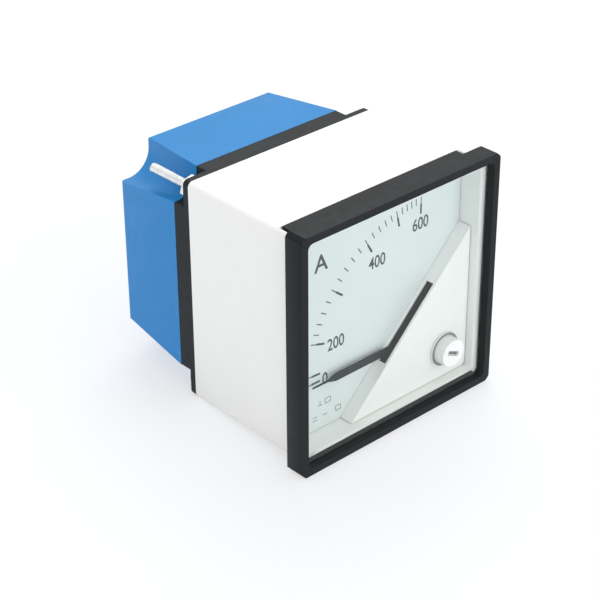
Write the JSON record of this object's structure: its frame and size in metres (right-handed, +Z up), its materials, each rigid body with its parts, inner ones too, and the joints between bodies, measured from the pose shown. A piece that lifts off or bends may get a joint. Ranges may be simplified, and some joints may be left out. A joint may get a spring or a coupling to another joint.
{
  "type": "analog panel meter",
  "caption": "Square analog panel meter with a black bezel, quadrant scale, zero adjuster, square case behind the panel and a notched rear housing with terminal studs.",
  "frame": {"origin": "centre of the square panel cut-out, in the plane where the back of the bezel meets the front of the panel", "axes": "+Z up; +X to the right seen from the front; +Y from the front to the back, the way the meter goes into the panel, so the dial faces -Y"},
  "size_m": [0.048, 0.0591, 0.048],
  "materials": {
    "bezel_black": "moulded black plastic, light satin",
    "window_glass": "clear pane",
    "case_white": "moulded off-white plastic",
    "dial_pale": "painted aluminium sheet, very pale grey-green",
    "cover_white": "moulded off-white plastic",
    "adjuster_white": "moulded white plastic",
    "brass": "turned brass",
    "pointer_black": "black lacquered aluminium",
    "spring_bronze": "phosphor bronze strip",
    "steel": "turned steel",
    "soft_iron": "soft iron sheet",
    "bobbin_plastic": "moulded plastic",
    "winding_copper": "enamelled copper wire, wound in layers",
    "frame_black": "moulded black plastic",
    "base_dark": "moulded dark grey plastic",
    "zinc_bright": "bright zinc plating",
    "housing_blue": "moulded blue plastic, light satin",
    "lead_sleeve": "insulated lead"
  },
  "bodies": {
    "meter_body": {"bezel_frame": "bezel_black", "window_pane": "window_glass", "case_shell": "case_white", "dial_plate": "dial_pale", "dial_cover": "cover_white", "fixed_iron": "soft_iron", "coil_bobbin": "bobbin_plastic", "coil_winding": "winding_copper", "front_bridge": "steel", "bridge_pillars": "brass", "bridge_screws": "steel", "front_jewel_screw": "steel", "jewel_nut": "brass", "rear_jewel_screw": "steel", "movement_frame": "frame_black", "movement_screws": "steel", "base_frame": "base_dark", "case_screws": "steel", "clamp_studs": "zinc_bright", "clamp_nuts": "zinc_bright", "rear_housing": "housing_blue", "housing_screws": "steel", "terminal_studs": "brass", "terminal_washers": "zinc_bright", "terminal_nuts": "brass", "coil_leads": "lead_sleeve"},
    "adjuster": {"zero_adjuster": "adjuster_white"},
    "lever": {"zero_lever": "brass"},
    "moving_system": {"pointer": "pointer_black", "counterweight": "brass", "staff": "steel", "hairspring": "spring_bronze", "moving_iron": "soft_iron"}
  },
  "joints": [
    {"name": "zero_adjust", "type": "hinge", "parent": "meter_body", "child": "adjuster", "pos_m": [0.0147, 0, -0.0147], "axis": [0, 1, 0], "range_deg": [-45, 45]},
    {"name": "zero_shift", "type": "hinge", "parent": "meter_body", "child": "lever", "pos_m": [0.0107, 0, -0.0107], "axis": [0, 1, 0], "range_deg": [-8, 8]},
    {"name": "pointer_swing", "type": "hinge", "parent": "meter_body", "child": "moving_system", "pos_m": [0.0107, 0, -0.0107], "axis": [0, 1, 0], "range_deg": [-2, 92], "stiffness_Nm_per_rad": 0.00004, "deforming": ["hairspring"]}
  ],
  "couplings": [
    {"joint": "zero_shift", "follows": "zero_adjust", "ratio": 0.16}
  ]
}
